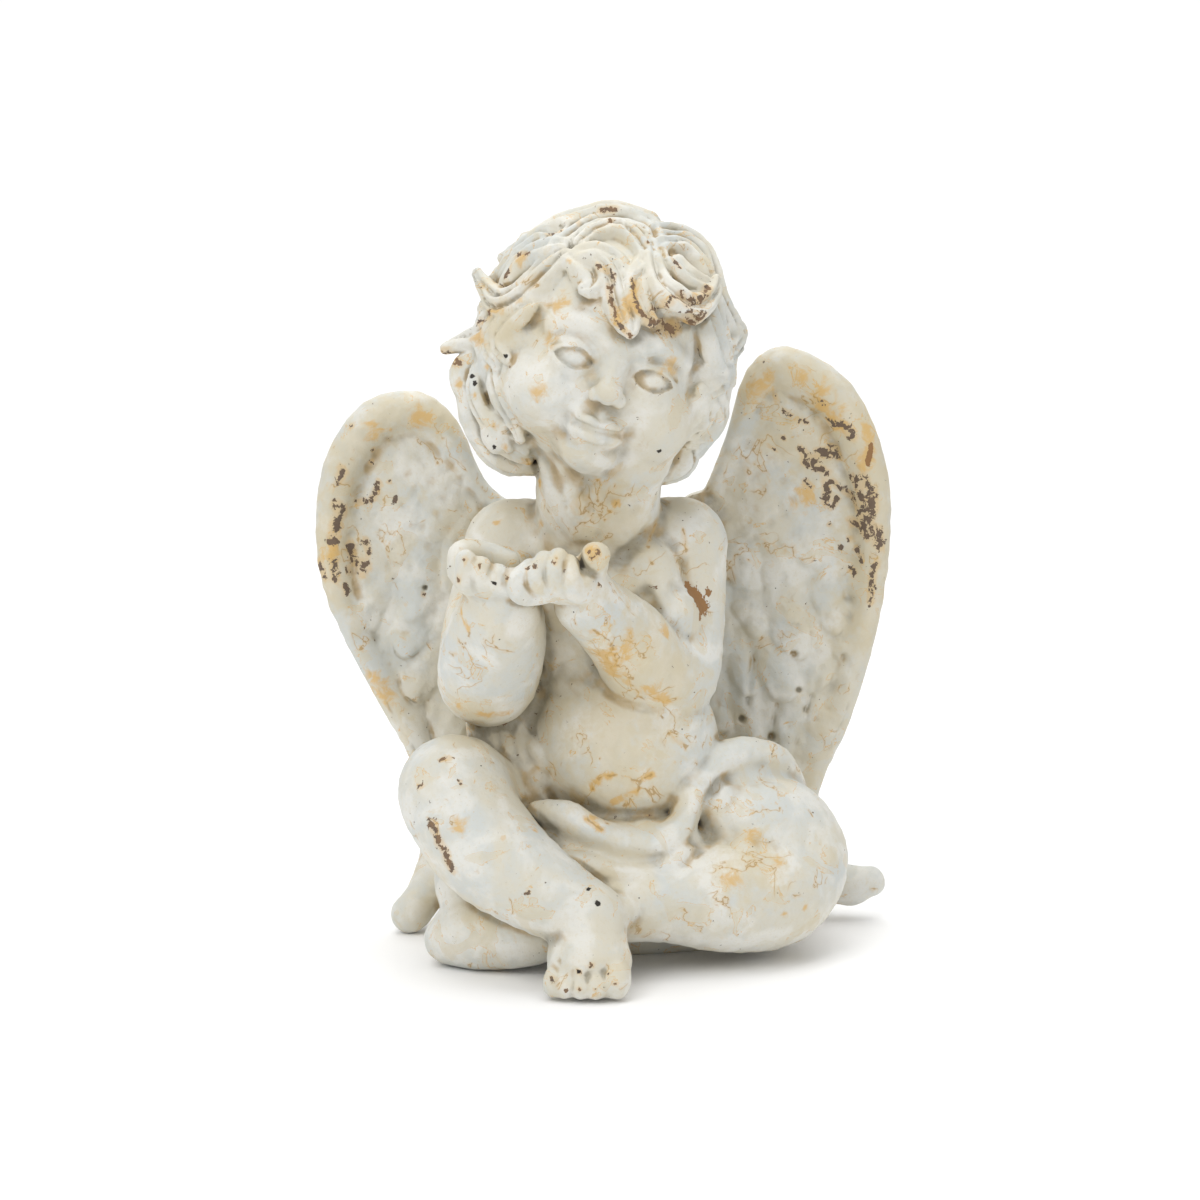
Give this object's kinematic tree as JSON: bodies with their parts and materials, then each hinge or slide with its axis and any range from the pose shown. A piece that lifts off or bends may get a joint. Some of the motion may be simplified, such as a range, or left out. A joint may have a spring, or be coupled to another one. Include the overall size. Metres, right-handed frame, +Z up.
{
  "type": "cherub figurine",
  "caption": "Seated winged cherub figurine in cast ceramic with worn off-white paint, legs crossed, head tilted and cupped hands raised under the chin.",
  "frame": {"origin": "on the flat underside that it stands on, under the middle of the body", "axes": "+Z is up. The figure faces -Y. +X is the figure's own left, which is on the right as seen from the front."},
  "size_m": [0.2261, 0.1479, 0.2816],
  "materials": {
    "aged_white_paint": "matt crackled off-white paint over fired clay, chipped and stained"
  },
  "bodies": {
    "root": {"cherub_figurine": "aged_white_paint"}
  },
  "joints": []
}
